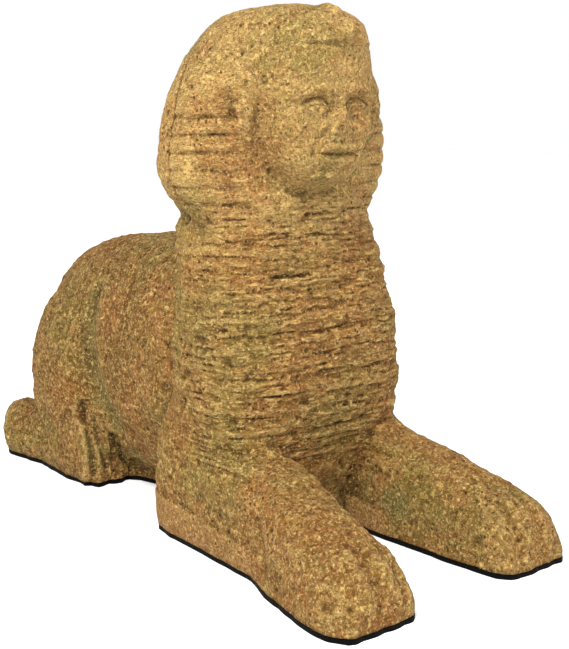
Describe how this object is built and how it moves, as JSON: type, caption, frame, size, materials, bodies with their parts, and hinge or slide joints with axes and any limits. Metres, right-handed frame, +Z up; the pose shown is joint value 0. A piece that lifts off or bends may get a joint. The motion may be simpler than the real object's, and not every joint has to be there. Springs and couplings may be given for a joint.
{
  "type": "sphinx statuette",
  "caption": "Tabletop statuette of a crouching sphinx in a striped headcloth, cast in stone-filled resin and painted as weathered sandstone, on a felt pad.",
  "frame": {"origin": "middle of the footprint's box, on the surface that the felt pad stands on", "axes": "+Z up; the sphinx faces -Y, so +Y runs back along its body; its right side is -X"},
  "size_m": [0.0852, 0.1984, 0.15],
  "materials": {
    "cast_stone": "matte",
    "felt": "matte"
  },
  "bodies": {
    "root": {"sphinx": "cast_stone", "felt_pad": "felt"}
  },
  "joints": []
}
